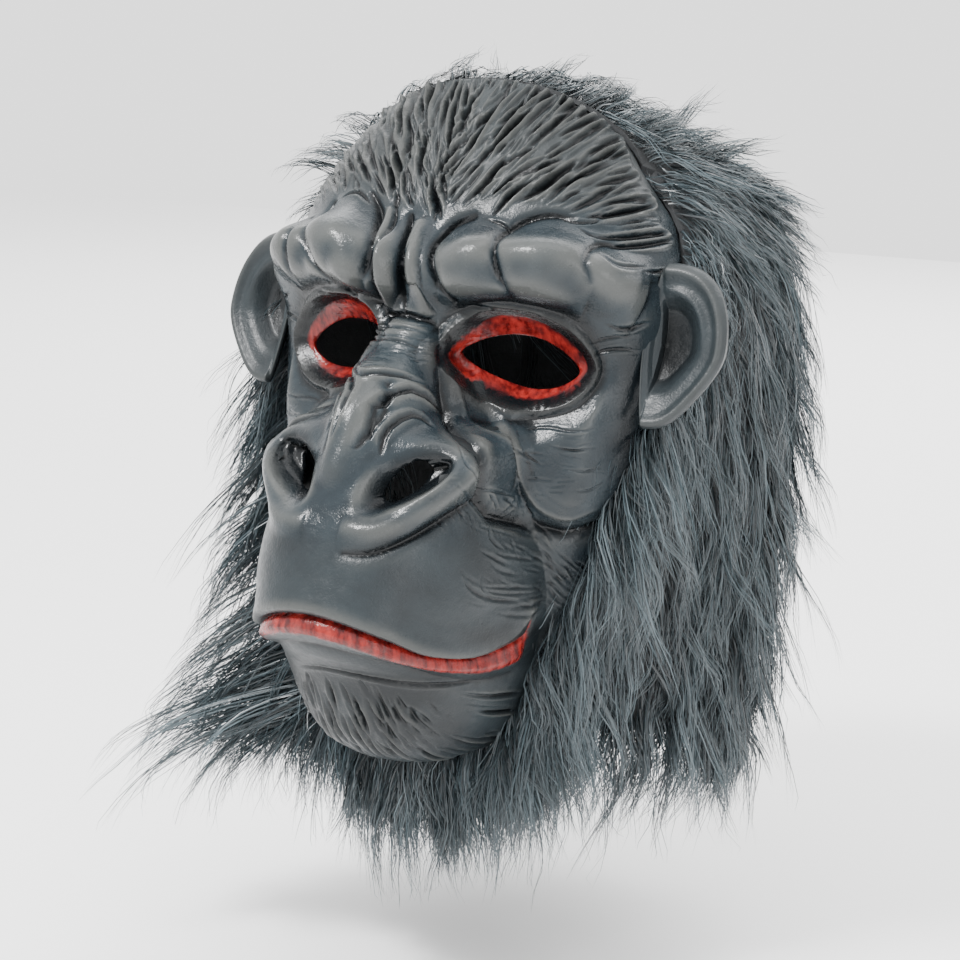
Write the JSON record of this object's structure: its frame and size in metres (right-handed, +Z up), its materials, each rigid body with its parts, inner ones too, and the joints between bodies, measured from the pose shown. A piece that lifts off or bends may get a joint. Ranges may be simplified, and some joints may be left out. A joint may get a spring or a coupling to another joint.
{
  "type": "gorilla mask",
  "caption": "Full-head gorilla mask: a sculpted latex face with open eyes and nostrils, two cupped ears, and a fabric hood under long dark fur, open at the neck.",
  "frame": {"origin": "the crown seat: the middle of the hood's inside, where it rests on top of the wearer's head", "axes": "+Z up, the face looks along -Y, +X is the wearer's left"},
  "size_m": [0.2222, 0.2868, 0.3038],
  "materials": {
    "latex": "dark grey painted latex, semi-gloss on the raised folds and black in the hollows, with red painted eye rims and lower lip",
    "backing": "black knitted backing",
    "fur": "long dark blue-grey faux fur"
  },
  "bodies": {
    "root": {"latex_face": "latex", "ear_left": "latex", "ear_right": "latex", "hood_backing": "backing", "fur_left": "fur", "fur_right": "fur", "fur_back": "fur", "fur_crown": "fur", "fur_chin": "fur"}
  },
  "joints": []
}
